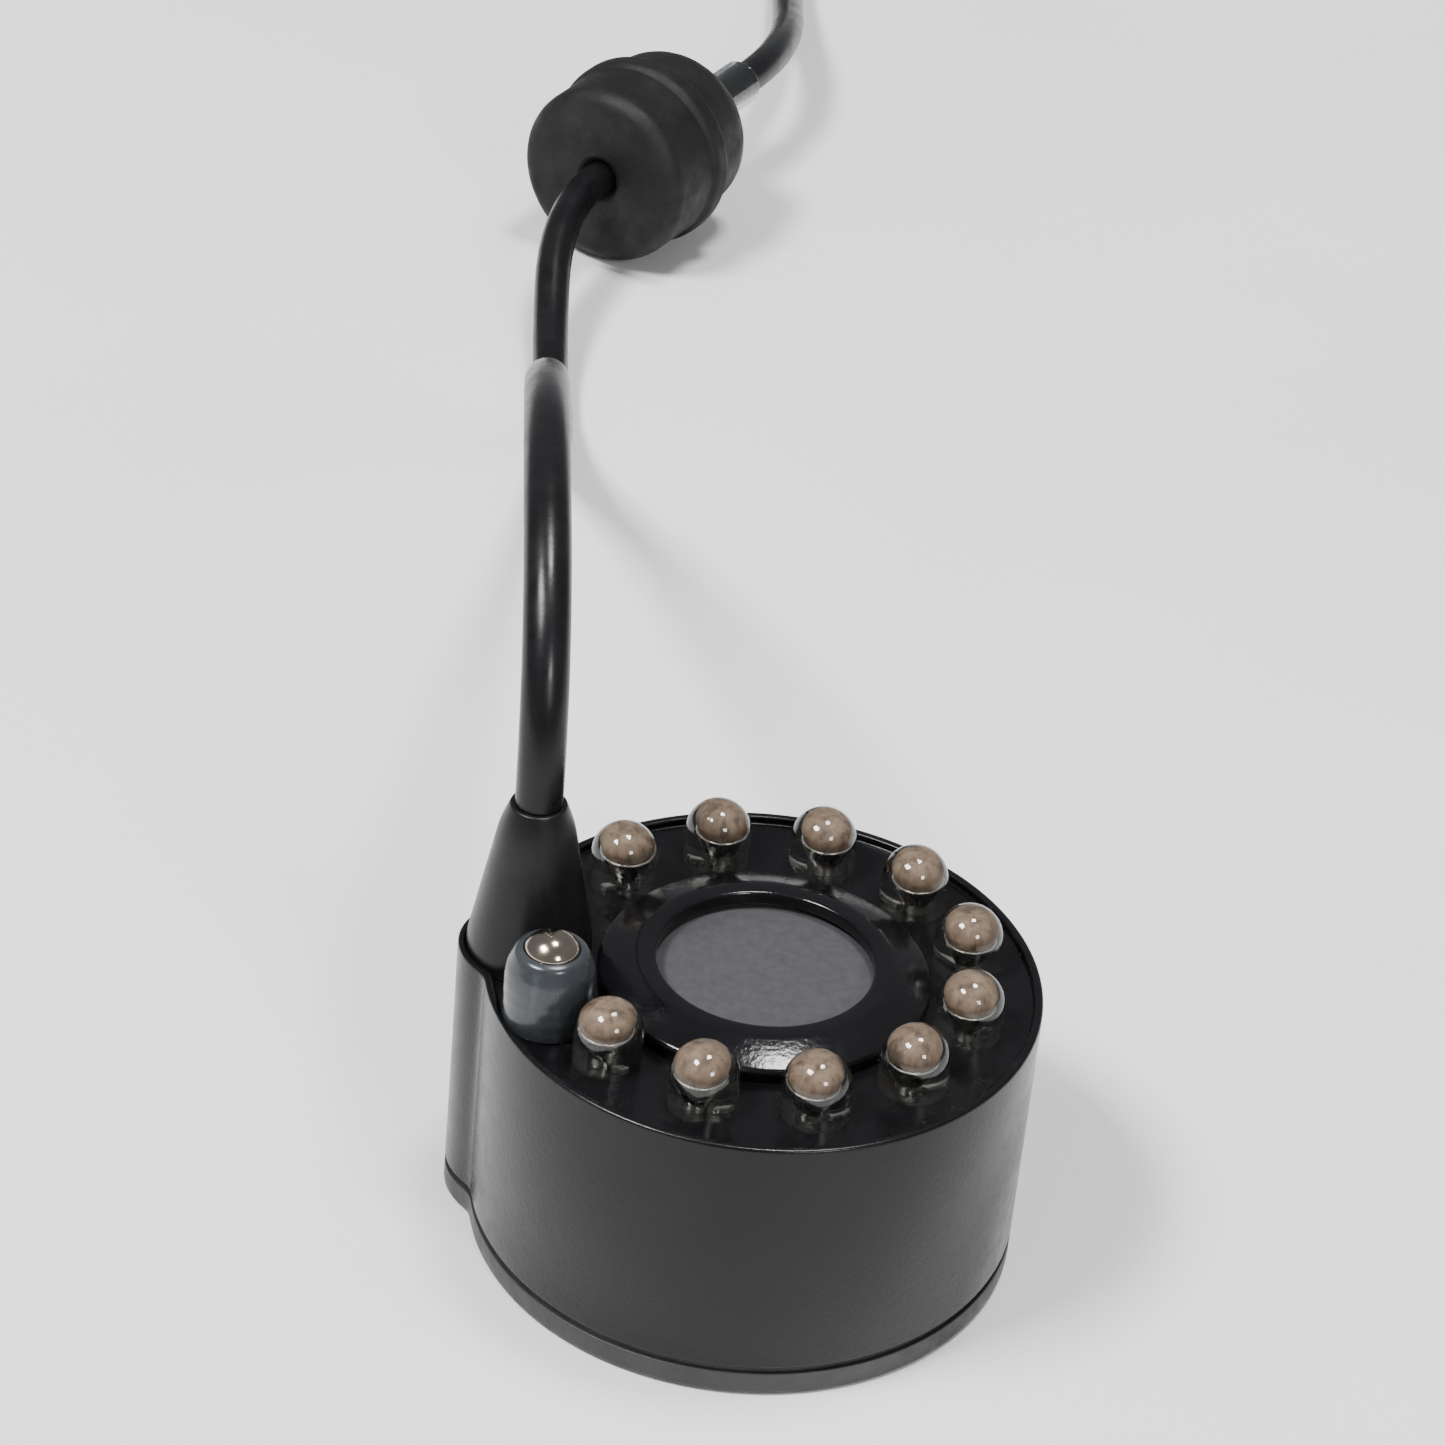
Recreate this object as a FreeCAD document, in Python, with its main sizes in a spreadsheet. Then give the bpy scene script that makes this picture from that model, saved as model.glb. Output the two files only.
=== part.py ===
"""Submersible mist maker with a ring of lamps, a water-level sensor and a low-voltage lead.

Millimetres, +Z up. The origin is on the housing's axis at its flat underside. The lead leaves
the top of the housing straight up, comes down to the floor behind it (+Y), runs through the
bung to a coil and ends in a barrel plug.
"""
import FreeCAD, Part
import math
import os

import Sketcher
from FreeCAD import Placement, Rotation, Vector

os.makedirs("parts", exist_ok=True)
doc = FreeCAD.newDocument("mist_maker")

SIZES = {
    # housing
    "body_radius": 20.5, "inner_radius": 18.7, "lobe_x": -16.9, "lobe_y": 3.9, "lobe_radius": 5.2,
    "lobe_inner": 3.4, "shell_foot": 2.5, "deck_under": 20.0, "deck_top": 22.0, "lip_width": 0.7,
    "lip_height": 0.6, "fit_gap": 0.05,
    # base cover, its seal and its screws
    "cover_thick": 2.0, "seal_thick": 0.5, "seal_inset": 0.3,
    "spigot_radius": 18.4, "spigot_inner": 17.2, "spigot_height": 2.0, "boss_circle": 16.9,
    "boss_radius": 2.4, "boss_top": 13.0, "boss_gap": 0.3, "pilot_radius": 0.8, "pilot_depth": 8.0,
    "screw_hole": 1.1, "head_radius": 1.9, "head_hole": 2.1, "head_depth": 1.2, "head_inset": 0.2,
    # well, disc, gasket and retaining ring
    "well_floor": 18.5, "well_under": 17.0, "well_bore": 11.65, "well_outer": 12.5, "well_hole": 8.5,
    "disc_radius": 10.0, "disc_under": 21.3, "disc_top": 22.5, "gasket_radius": 10.75,
    "gasket_inner": 8.6, "gasket_top": 22.8, "washer_radius": 10.7, "washer_inner": 8.3,
    "washer_top": 23.0, "ring_inner": 8.0, "ring_lip": 9.4, "ring_top": 24.0, "ring_skirt": 11.6,
    "ring_skirt_inner": 11.05, "ring_skirt_foot": 19.5, "ring_flange": 12.2, "ring_edge": 23.0,
    # lamps and their board
    "lamp_circle": 15.4, "lamp_first": 216.8, "lamp_pitch": 30.0, "lamp_radius": 2.5,
    "lamp_flange": 2.8, "lamp_foot": 19.0, "lamp_dome": 24.5, "lead_radius": 0.28,
    "lead_spread": 1.27, "lead_foot": 14.0, "lamp_board_inner": 12.9, "lamp_board_outer": 17.6,
    "lamp_board_under": 15.0, "lamp_board_top": 16.6, "lamp_board_first": 205.0,
    "lamp_board_sweep": 293.0,
    # driver board and what stands on it
    "board_radius": 18.3, "board_under": 8.0, "board_top": 9.6, "pillar_radius": 1.6,
    "pillar_circle": 10.5, "plate_thick": 0.8, "choke_radius": 3.6, "choke_height": 6.2,
    "choke_waist": 2.4, "choke_flange": 1.0, "contact_radius": 0.6, "contact_head": 1.5,
    "contact_head_thick": 0.6, "rim_inner": 7.6, "rim_thick": 0.3, "rim_leg": 7.95,
    "rim_leg_radius": 0.4,
    # water-level sensor
    "sensor_x": -16.2, "sensor_y": -4.4, "sleeve_radius": 3.3, "sleeve_shoulder": 26.6,
    "sleeve_top": 28.3, "sleeve_crown": 2.3, "pin_radius": 1.0, "pin_foot": 15.0, "pin_seat": 27.3,
    "pin_head": 2.0, "pin_top": 29.5, "nut_radius": 1.85, "nut_foot": 18.6, "sensor_seal": 1.95,
    # lead, its boot, bung, sleeve and plug
    "lead_thick": 3.5, "boot_radius": 4.6, "boot_shoulder": 23.2, "boot_crown": 2.75,
    "crown_top": 33.2, "boot_tip": 2.05, "boot_top": 35.0, "boot_neck": 2.6, "boot_flange": 3.1,
    "boot_foot": 17.5, "grip_radius": 2.9, "grip_height": 1.5,
    "wire_radius": 0.6, "wire_apart": 0.85, "bung_radius": 9.3, "bung_ridge": 9.8, "bung_rear": 8.6,
    "bung_length": 17.5, "clear_radius": 2.45, "clear_set": 1.0, "clear_length": 12.5,
    "plug_radius": 5.0, "plug_neck": 3.4, "plug_bore": 7.0, "plug_relief": 12.0, "plug_length": 28.0,
    "barrel_radius": 2.75, "barrel_collar": 3.2, "barrel_inner": 2.4, "barrel_root": 20.0,
    "barrel_tip": 37.5,
    "contact_outer": 1.4, "contact_bore": 1.05,
    # coil of the put-away lead
    "coil_x": 8.0, "coil_y": 254.0, "coil_inner": 12.8, "coil_outer": 27.2, "coil_height": 7.2,
}

# What the lead follows: up out of the boot, over and down to the floor, through the bung, to the coil.
BUNG_FRONT = Vector(2.0, 150.0, SIZES["bung_ridge"])
BUNG_WAY = Vector(0.6, 0.8, 0.0)
PLUG_WAY = Vector(-1.0, 0.0, 0.0)
FLOOR = SIZES["lead_thick"] / 2
COIL = Vector(SIZES["coil_x"], SIZES["coil_y"], 0.0)
PLUG_FOOT = COIL + Vector(-8.0, 31.5, SIZES["plug_radius"])
LEAD_ROUTE = [
    Vector(SIZES["lobe_x"], SIZES["lobe_y"], 15.0),
    Vector(SIZES["lobe_x"], SIZES["lobe_y"], 46.0),
    Vector(-17.2, 27.0, 57.0),
    Vector(-16.8, 54.0, 43.5),
    Vector(-15.0, 80.0, 24.3),
    Vector(-12.6, 104.0, FLOOR),
    Vector(-10.0, 121.0, FLOOR),
    BUNG_FRONT - BUNG_WAY * 9.0,
    BUNG_FRONT + BUNG_WAY * 39.0,
    Vector(30.0, 213.0, FLOOR),
    COIL + Vector(25.4, -8.0, FLOOR),
]
TAIL_ROUTE = [
    COIL + Vector(8.7, 23.9, 5.35),
    COIL + Vector(-2.0, 31.5, SIZES["plug_radius"]),
    PLUG_FOOT + PLUG_WAY * SIZES["plug_bore"],
]

sheet = doc.addObject("Spreadsheet::Sheet", "dims")
for row, (alias, size) in enumerate(SIZES.items(), start=1):
    sheet.set(f"A{row}", alias)
    sheet.set(f"B{row}", str(size))
    sheet.setAlias(f"B{row}", alias)
doc.recompute()

nodes = []

# --- helpers ----------------------------------------------------------------------------------


def cell(text):
    """An expression with each alias of the sheet written out in full."""
    return " ".join(f"dims.{word}" if word in SIZES else word for word in text.split())


def value_of(text):
    """The number that an expression stands for."""
    return float(sheet.evalExpression(cell(text)))


def polar(circle, angle):
    """The two expressions of a place on a circle about the housing's axis; the angle is in degrees."""
    return f"{circle} * cos( 1deg * ( {angle} ) )", f"{circle} * sin( 1deg * ( {angle} ) )"


def ring_of(count, circle, first=0.0, pitch=None):
    """The places of a number of equal things on a circle about the housing's axis."""
    pitch = pitch or 360.0 / count
    return [polar(circle, f"{first} + {k * pitch}") for k in range(count)]


def keep(thing, label):
    """Marks a finished sub-part: its Label is the name of its node."""
    thing.Label = label
    nodes.append(thing)
    return thing


def new_body(label):
    return keep(doc.addObject("PartDesign::Body", label), label)


def new_sketch(body, role, height=None):
    sketch = body.newObject("Sketcher::SketchObject", f"{body.Name}_sketch")
    plane = next(f for f in body.Origin.OriginFeatures if f.Role == role)
    sketch.AttachmentSupport = [(plane, "")]
    sketch.MapMode = "FlatFace"
    if height:
        sketch.setExpression("AttachmentOffset.Base.z", cell(height))
    return sketch


def hold(sketch, text, kind, *where):
    """Adds one sized constraint and binds it to an expression."""
    index = sketch.addConstraint(Sketcher.Constraint(kind, *where, value_of(text)))
    sketch.setExpression(f"Constraints[{index}]", cell(text))


def circles(body, height, places):
    """A sketch of circles at a height; each place is the expressions of x, y and the radius."""
    sketch = new_sketch(body, "XY_Plane", height)
    for x, y, radius in places:
        centre = Vector(value_of(x), value_of(y), 0)
        index = sketch.addGeometry(Part.Circle(centre, Vector(0, 0, 1), value_of(radius)))
        for text, kind, axis in ((x, "DistanceX", -2), (y, "DistanceY", -1)):
            if text == "0":
                sketch.addConstraint(Sketcher.Constraint("PointOnObject", index, 3, axis))
            else:
                hold(sketch, text, kind, -1, 1, index, 3)
        hold(sketch, radius, "Radius", index)
    return sketch


def pad(body, height, length, places):
    """Adds round material from a height upwards."""
    feature = body.newObject("PartDesign::Pad", f"{body.Name}_pad")
    feature.Profile = circles(body, height, places)
    feature.setExpression("Length", cell(length))


def pocket(body, height, depth, places):
    """Cuts round holes from a height downwards, and checks that they take material away."""
    doc.recompute()
    before = body.Shape.Volume
    feature = body.newObject("PartDesign::Pocket", f"{body.Name}_pocket")
    feature.Profile = circles(body, height, places)
    feature.setExpression("Length", cell(depth))
    doc.recompute()
    if body.Shape.Volume > before - 1e-3:
        raise RuntimeError(f"a pocket of {body.Label} cuts nothing")


def turned(label, profile, place=None):
    """A body turned about its own Z axis; each corner is the expressions of radius and height."""
    body = new_body(label)
    sketch = new_sketch(body, "XZ_Plane")
    corners = [(value_of(radius), value_of(height)) for radius, height in profile]
    count = len(profile)
    for k in range(count):
        ends = [Vector(*corners[k], 0), Vector(*corners[(k + 1) % count], 0)]
        sketch.addGeometry(Part.LineSegment(*ends))
    for k, (radius, height) in enumerate(profile):
        sketch.addConstraint(Sketcher.Constraint("Coincident", k, 2, (k + 1) % count, 1))
        for text, kind, axis in ((radius, "DistanceX", -2), (height, "DistanceY", -1)):
            if value_of(text) == 0:
                sketch.addConstraint(Sketcher.Constraint("PointOnObject", k, 1, axis))
            else:
                hold(sketch, text, kind, -1, 1, k, 1)
    feature = body.newObject("PartDesign::Revolution", f"{body.Name}_turn")
    feature.Profile = sketch
    feature.ReferenceAxis = (sketch, ["V_Axis"])
    feature.Angle = 360
    if place:
        body.Placement = place
    return body


def stand(thing, x, y, height):
    """Binds the place of a primitive to expressions."""
    for axis, text in zip("xyz", (x, y, height)):
        thing.setExpression(f"Placement.Base.{axis}", cell(text))
    return thing


def cylinder(x, y, foot, radius, height):
    thing = doc.addObject("Part::Cylinder", "cylinder")
    thing.setExpression("Radius", cell(radius))
    thing.setExpression("Height", cell(height))
    return stand(thing, x, y, foot)


def sphere(x, y, centre, radius):
    thing = doc.addObject("Part::Sphere", "sphere")
    thing.setExpression("Radius", cell(radius))
    return stand(thing, x, y, centre)


def box(corner, size):
    thing = doc.addObject("Part::Box", "box")
    for side, text in zip(("Length", "Width", "Height"), size):
        thing.setExpression(side, cell(text))
    return stand(thing, *corner)


def fused(*things):
    made = doc.addObject("Part::MultiFuse", "fused")
    made.Shapes = list(things)
    return made


def cut(base, tool):
    made = doc.addObject("Part::Cut", "cut")
    made.Base, made.Tool = base, tool
    return made


def common(*things):
    made = doc.addObject("Part::MultiCommon", "common")
    made.Shapes = list(things)
    return made


def group(label, things):
    """One node of several separate solids."""
    made = doc.addObject("Part::Compound", label)
    made.Links = list(things)
    return keep(made, label)


def along(way, foot):
    """The placement that turns local +Z to a level direction and moves the origin to foot."""
    return Placement(foot, Rotation(Vector(0, 0, 1), way))


def tube(label, route):
    """A round lead: straight runs joined by tangent arcs as wide as the runs allow."""
    edges, start, length = [], route[0], 0.0
    radii = []
    for before, corner, after in zip(route, route[1:], route[2:]):
        back, on = (before - corner), (after - corner)
        run = min(back.Length, on.Length)
        back.normalize()
        on.normalize()
        turn = math.pi - back.getAngle(on)
        cutoff = 0.45 * run
        radius = cutoff / math.tan(turn / 2)
        radii.append(radius)
        inward = back + on
        inward.normalize()
        middle = corner + inward * (math.hypot(radius, cutoff) - radius)
        first, last = corner + back * cutoff, corner + on * cutoff
        edges += [Part.LineSegment(start, first).toShape(), Part.Arc(first, middle, last).toShape()]
        length += (first - start).Length + radius * turn
        start = last
    edges.append(Part.LineSegment(start, route[-1]).toShape())
    length += (route[-1] - start).Length
    path = Part.Wire(edges)
    thick = value_of("lead_thick")
    ring = Part.makeCircle(thick / 2, route[0], route[1] - route[0])
    solid = path.makePipeShell([Part.Wire([ring])], True, True)
    expected = math.pi * thick**2 / 4 * length
    if abs(solid.Volume / expected - 1) > 0.01:
        raise RuntimeError(f"{label} has {solid.Volume:.0f} mm3 instead of {expected:.0f}")
    print(label, f"{length:.0f} mm, radii", [round(radius, 1) for radius in radii])
    made = doc.addObject("Part::Feature", label)
    made.Shape = solid
    return keep(made, label)


# --- housing ----------------------------------------------------------------------------------

LAMPS = ring_of(10, "lamp_circle", SIZES["lamp_first"], SIZES["lamp_pitch"])
BOSSES = ring_of(4, "boss_circle", 45.0)
SENSOR = ("sensor_x", "sensor_y")
LOBE = ("lobe_x", "lobe_y")
AXIS = ("0", "0")


def housing_shell():
    """A cup turned upside down: wall, deck with a raised edge, well for the disc, four screw bosses."""
    shell = new_body("housing_shell")
    tall = "deck_top + lip_height - shell_foot"
    pad(shell, "shell_foot", tall, [(*AXIS, "body_radius")])
    pad(shell, "shell_foot", tall, [(*LOBE, "lobe_radius")])
    for place, radius in ((AXIS, "inner_radius"), (LOBE, "lobe_inner")):
        pocket(shell, "deck_under", "deck_under - shell_foot", [(*place, radius)])
    for place, radius in (
        (AXIS, "body_radius - lip_width"),
        (LOBE, "boot_radius + fit_gap"),
        (SENSOR, "sleeve_radius + fit_gap"),
    ):
        pocket(shell, "deck_top + lip_height", "lip_height", [(*place, radius)])
    pad(shell, "well_under", "deck_under - well_under", [(*AXIS, "well_outer")])
    pocket(shell, "deck_top", "deck_top - well_floor", [(*AXIS, "well_bore")])
    pocket(shell, "well_floor", "well_floor - well_under", [(*AXIS, "well_hole")])
    pad(shell, "shell_foot", "boss_top - shell_foot", [(*spot, "boss_radius") for spot in BOSSES])
    pocket(shell, "shell_foot + pilot_depth", "pilot_depth", [(*spot, "pilot_radius") for spot in BOSSES])
    holes = [(*spot, "lamp_radius") for spot in LAMPS]
    holes += [(*SENSOR, "pin_radius"), (*LOBE, "boot_neck")]
    pocket(shell, "deck_top", "deck_top - deck_under", holes)


def base_cover():
    """The flat cover below, with a spigot inside the wall and four counterbored screw holes."""
    cover = new_body("base_cover")
    for place, radius in ((AXIS, "body_radius"), (LOBE, "lobe_radius")):
        pad(cover, None, "cover_thick", [(*place, radius)])
    top = "cover_thick + spigot_height"
    pad(cover, "cover_thick", "spigot_height", [(*AXIS, "spigot_radius")])
    pocket(cover, top, "spigot_height", [(*AXIS, "spigot_inner")])
    pocket(cover, top, "spigot_height", [(*spot, "boss_radius + boss_gap") for spot in BOSSES])
    pocket(cover, top, top, [(*spot, "screw_hole") for spot in BOSSES])
    pocket(cover, "head_depth", "head_depth", [(*spot, "head_hole") for spot in BOSSES])


def cover_seal():
    """A flat seal between the cover and the housing's wall."""
    seal = new_body("cover_seal")
    for place, radius in ((AXIS, "body_radius"), (LOBE, "lobe_radius")):
        pad(seal, "cover_thick", "seal_thick", [(*place, f"{radius} - seal_inset")])
    for place, radius in ((AXIS, "inner_radius"), (LOBE, "lobe_inner")):
        pocket(seal, "cover_thick + seal_thick", "seal_thick", [(*place, radius)])


def cover_screws():
    screws = []
    for spot in BOSSES:
        head = cylinder(*spot, "head_inset", "head_radius", "head_depth - head_inset")
        shank = cylinder(*spot, "head_depth", "pilot_radius", "shell_foot + pilot_depth - head_depth")
        screws.append(fused(head, shank))
    group("cover_screws", screws)


# --- well: gasket, disc, washer and ring, and the two contacts below --------------------------


def disc_stack():
    turned(
        "disc_gasket",
        [
            ("gasket_inner", "well_floor"),
            ("gasket_radius", "well_floor"),
            ("gasket_radius", "gasket_top"),
            ("gasket_inner", "gasket_top"),
            ("gasket_inner", "disc_top"),
            ("disc_radius", "disc_top"),
            ("disc_radius", "disc_under"),
            ("gasket_inner", "disc_under"),
        ],
    )
    disc = new_body("atomiser_disc")
    pad(disc, "disc_under", "disc_top - disc_under", [(*AXIS, "disc_radius")])
    washer = new_body("slip_washer")
    pad(washer, "gasket_top", "washer_top - gasket_top", [(*AXIS, "washer_radius")])
    pocket(washer, "washer_top", "washer_top - gasket_top", [(*AXIS, "washer_inner")])
    turned(
        "retaining_ring",
        [
            ("ring_inner", "washer_top"),
            ("ring_inner", "ring_top"),
            ("ring_lip", "ring_top"),
            ("ring_flange", "ring_edge"),
            ("ring_flange", "deck_top"),
            ("ring_skirt", "deck_top"),
            ("ring_skirt", "ring_skirt_foot"),
            ("ring_skirt_inner", "ring_skirt_foot"),
            ("ring_skirt_inner", "washer_top"),
        ],
    )


def disc_contacts():
    """A sprung pin under the disc's middle and a ring with one leg under its rim."""
    neck = "disc_under - contact_head_thick - board_top"
    pin = cylinder(*AXIS, "board_top", "contact_radius", neck)
    head = cylinder(*AXIS, "disc_under - contact_head_thick", "contact_head", "contact_head_thick")
    keep(fused(pin, head), "centre_contact")
    foot = "disc_under - rim_thick"
    whole = cylinder(*AXIS, foot, "well_hole", "rim_thick")
    ring = cut(whole, cylinder(*AXIS, foot, "rim_inner", "rim_thick"))
    leg = cylinder("rim_leg", "0", "board_top", "rim_leg_radius", f"{foot} - board_top")
    keep(fused(ring, leg), "rim_contact")


# --- lamps ------------------------------------------------------------------------------------


def lamps():
    group(
        "led_lamps",
        [
            fused(
                cylinder(*spot, "lamp_foot", "lamp_flange", "deck_under - lamp_foot"),
                cylinder(*spot, "lamp_foot", "lamp_radius", "lamp_dome - lamp_foot"),
                sphere(*spot, "lamp_dome", "lamp_radius"),
            )
            for spot in LAMPS
        ],
    )
    leads = []
    for k in range(len(LAMPS)):
        middle = f"lamp_first + {k} * lamp_pitch"
        spread = "lead_spread / lamp_circle * 57.2958"
        for side in ("-", "+"):
            spot = polar("lamp_circle", f"{middle} {side} {spread}")
            leads.append(cylinder(*spot, "lead_foot", "lead_radius", "lamp_foot - lead_foot"))
    pins = group("led_leads", leads)
    thick = "lamp_board_top - lamp_board_under"
    whole = cylinder(*AXIS, "lamp_board_under", "lamp_board_outer", thick)
    whole.setExpression("Angle", cell("lamp_board_sweep"))
    whole.Placement.Rotation = Rotation(Vector(0, 0, 1), SIZES["lamp_board_first"])
    open_ring = cut(whole, cylinder(*AXIS, "lamp_board_under", "lamp_board_inner", thick))
    keep(cut(open_ring, pins), "led_board")


# --- driver board -----------------------------------------------------------------------------


def driver():
    board = new_body("driver_board")
    thick = "board_top - board_under"
    pad(board, "board_under", thick, [(*AXIS, "board_radius")])
    pocket(board, "board_top", thick, [(*spot, "boss_radius + boss_gap") for spot in BOSSES])
    pillars = ring_of(4, "pillar_circle")
    group(
        "board_pillars",
        [cylinder(*spot, "cover_thick", "pillar_radius", "board_under - cover_thick") for spot in pillars],
    )
    keep(box(("-8", "-13.2", "board_top"), ("15.5", "11", "plate_thick")), "heat_spreader")
    tab = cut(
        box(("-8", "-12.6", "board_top + plate_thick"), ("6.5", "10", "1.3")),
        cylinder("-5", "-7.6", "board_top + plate_thick", "1.5", "1.3"),
    )
    case = box(("-1.5", "-12.6", "board_top + plate_thick"), ("9", "10", "4.4"))
    legs = []
    for y in ("-10.2", "-8", "-5.8"):
        legs.append(box(("7.5", y, "board_top + 2.8"), ("2.6", "0.8", "0.5")))
        legs.append(box(("9.6", y, "board_top"), ("0.5", "0.8", "2.8")))
    keep(fused(tab, case, *legs), "power_transistor")
    chokes = []
    for x, y in (("-6.5", "5.5"), ("2.5", "8.5")):
        low = cylinder(x, y, "board_top", "choke_radius", "choke_flange")
        waist = cylinder(x, y, "board_top", "choke_waist", "choke_height")
        high = cylinder(x, y, "board_top + choke_height - choke_flange", "choke_radius", "choke_flange")
        chokes.append(fused(low, waist, high))
    group("choke_cores", chokes)
    windings = []
    for x, y in (("-6.5", "5.5"), ("2.5", "8.5")):
        foot, height = "board_top + choke_flange", "choke_height - choke_flange * 2"
        whole = cylinder(x, y, foot, "choke_radius - 0.3", height)
        windings.append(cut(whole, cylinder(x, y, foot, "choke_waist", height)))
    group("choke_windings", windings)
    group(
        "capacitors",
        [
            box(("9.6", "1.6", "board_top"), ("6.2", "2.5", "4")),
            cylinder("10.6", "7.2", "board_top", "2", "4"),
            cylinder("-12.6", "-0.2", "board_top", "2", "4"),
        ],
    )
    keep(box(("-13.6", "-9", "board_top"), ("4.9", "3.9", "1.6")), "control_chip")


# --- water-level sensor -----------------------------------------------------------------------


def sensor():
    place = Placement(Vector(SIZES["sensor_x"], SIZES["sensor_y"], 0), Rotation())
    turned(
        "sensor_sleeve",
        [
            ("pin_radius", "deck_top + seal_thick"),
            ("sensor_seal", "deck_top + seal_thick"),
            ("sensor_seal", "deck_top"),
            ("sleeve_radius", "deck_top"),
            ("sleeve_radius", "sleeve_shoulder"),
            ("sleeve_crown", "sleeve_top"),
            ("pin_head", "sleeve_top"),
            ("pin_head", "pin_seat"),
            ("pin_radius", "pin_seat"),
        ],
        place,
    )
    seal = cylinder(*SENSOR, "deck_top", "sensor_seal", "seal_thick")
    keep(cut(seal, cylinder(*SENSOR, "deck_top", "pin_radius", "seal_thick")), "sensor_seal_ring")
    rise = "( pin_top - sleeve_top )"
    cap = f"( pin_head * pin_head + {rise} * {rise} ) / ( 2 * {rise} )"
    dome = common(
        sphere(*SENSOR, f"pin_top - {cap}", cap),
        cylinder(*SENSOR, "pin_seat", "pin_head", "pin_top - pin_seat"),
    )
    stem = cylinder(*SENSOR, "pin_foot", "pin_radius", "sleeve_top - pin_foot")
    keep(fused(dome, stem), "sensor_pin")
    prism = doc.addObject("Part::Prism", "prism")
    prism.Polygon = 6
    prism.setExpression("Circumradius", cell("nut_radius"))
    prism.setExpression("Height", cell("deck_under - nut_foot"))
    stand(prism, *SENSOR, "nut_foot")
    keep(cut(prism, cylinder(*SENSOR, "nut_foot", "pin_radius", "deck_under - nut_foot")), "sensor_nut")


# --- lead and what is on it -------------------------------------------------------------------


def boot_and_wires():
    place = Placement(Vector(SIZES["lobe_x"], SIZES["lobe_y"], 0), Rotation())
    turned(
        "cord_boot",
        [
            ("lead_thick / 2", "boot_foot"),
            ("boot_flange", "boot_foot"),
            ("boot_flange", "deck_under"),
            ("boot_neck", "deck_under"),
            ("boot_neck", "deck_top"),
            ("boot_radius", "deck_top"),
            ("boot_radius", "boot_shoulder"),
            ("boot_crown", "crown_top"),
            ("boot_tip", "boot_top"),
            ("lead_thick / 2", "boot_top"),
        ],
        place,
    )
    grip = cylinder(*LOBE, "boot_foot - grip_height", "grip_radius", "grip_height")
    hole = cylinder(*LOBE, "boot_foot - grip_height", "lead_thick / 2", "grip_height")
    keep(cut(grip, hole), "cord_grip")
    rise = "pin_foot - board_top"
    group(
        "inner_wires",
        [
            cylinder("lobe_x", "lobe_y - wire_apart", "board_top", "wire_radius", rise),
            cylinder("lobe_x", "lobe_y + wire_apart", "board_top", "wire_radius", rise),
            cylinder(*SENSOR, "board_top", "wire_radius", rise),
            cylinder("lamp_circle - 1", "-1", "board_top", "wire_radius / 1.5", rise),
            cylinder("lamp_circle - 1", "-2.4", "board_top", "wire_radius / 1.5", rise),
        ],
    )


def bung_and_sleeve():
    place = along(BUNG_WAY, BUNG_FRONT)
    bore = "lead_thick / 2"
    seat = "bung_length - clear_set"
    turned(
        "cord_bung",
        [
            (bore, "0"),
            ("bung_radius - 1", "0"),
            ("bung_radius", "1"),
            ("bung_radius", "7"),
            ("bung_ridge", "7.6"),
            ("bung_ridge", "9.4"),
            ("bung_rear + 0.3", "10"),
            ("bung_rear", "15"),
            ("bung_rear - 2", "bung_length"),
            ("clear_radius", "bung_length"),
            ("clear_radius", seat),
            (bore, seat),
        ],
        place,
    )
    turned(
        "clear_sleeve",
        [
            (bore, seat),
            ("clear_radius", seat),
            ("clear_radius", f"{seat} + clear_length - 0.4"),
            ("clear_radius - 0.4", f"{seat} + clear_length"),
            (bore, f"{seat} + clear_length"),
        ],
        place,
    )


def barrel_plug():
    place = along(PLUG_WAY, PLUG_FOOT)
    turned(
        "plug_body",
        [
            ("lead_thick / 2", "0"),
            ("lead_thick / 2 + 0.5", "0"),
            ("plug_neck", "plug_relief"),
            ("plug_radius", "plug_relief + 1.5"),
            ("plug_radius", "plug_length - 1"),
            ("plug_radius - 0.8", "plug_length"),
            ("barrel_collar", "plug_length"),
            ("barrel_collar", "barrel_root"),
            ("0", "barrel_root"),
            ("0", "plug_bore"),
            ("lead_thick / 2", "plug_bore"),
        ],
        place,
    )
    turned(
        "plug_barrel",
        [
            ("barrel_inner", "barrel_root"),
            ("barrel_collar", "barrel_root"),
            ("barrel_collar", "plug_length"),
            ("barrel_radius", "plug_length"),
            ("barrel_radius", "barrel_tip"),
            ("barrel_inner", "barrel_tip"),
        ],
        place,
    )
    for label, inner, outer in (
        ("plug_insulator", "contact_outer", "barrel_inner"),
        ("plug_contact", "contact_bore", "contact_outer"),
    ):
        turned(
            label,
            [(inner, "barrel_root"), (outer, "barrel_root"), (outer, "barrel_tip"), (inner, "barrel_tip")],
            place,
        )


def coil():
    whole = cylinder("coil_x", "coil_y", "0", "coil_outer", "coil_height")
    keep(cut(whole, cylinder("coil_x", "coil_y", "0", "coil_inner", "coil_height")), "cord_coil")


housing_shell()
base_cover()
cover_seal()
cover_screws()
disc_stack()
disc_contacts()
lamps()
driver()
sensor()
boot_and_wires()
bung_and_sleeve()
barrel_plug()
coil()
tube("cord_lead", LEAD_ROUTE)
tube("cord_tail", TAIL_ROUTE)
doc.recompute()

for thing in doc.Objects:
    if {"Invalid", "Error"} & set(thing.State):
        raise RuntimeError(f"{thing.Label} failed: {thing.State}")
for thing in nodes:
    if thing.Shape.isNull() or not thing.Shape.isValid() or not thing.Shape.Solids:
        raise RuntimeError(f"{thing.Label} has no valid solid")
for thing in nodes:
    thing.Shape.exportStep(f"parts/{thing.Label}.step")
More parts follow.
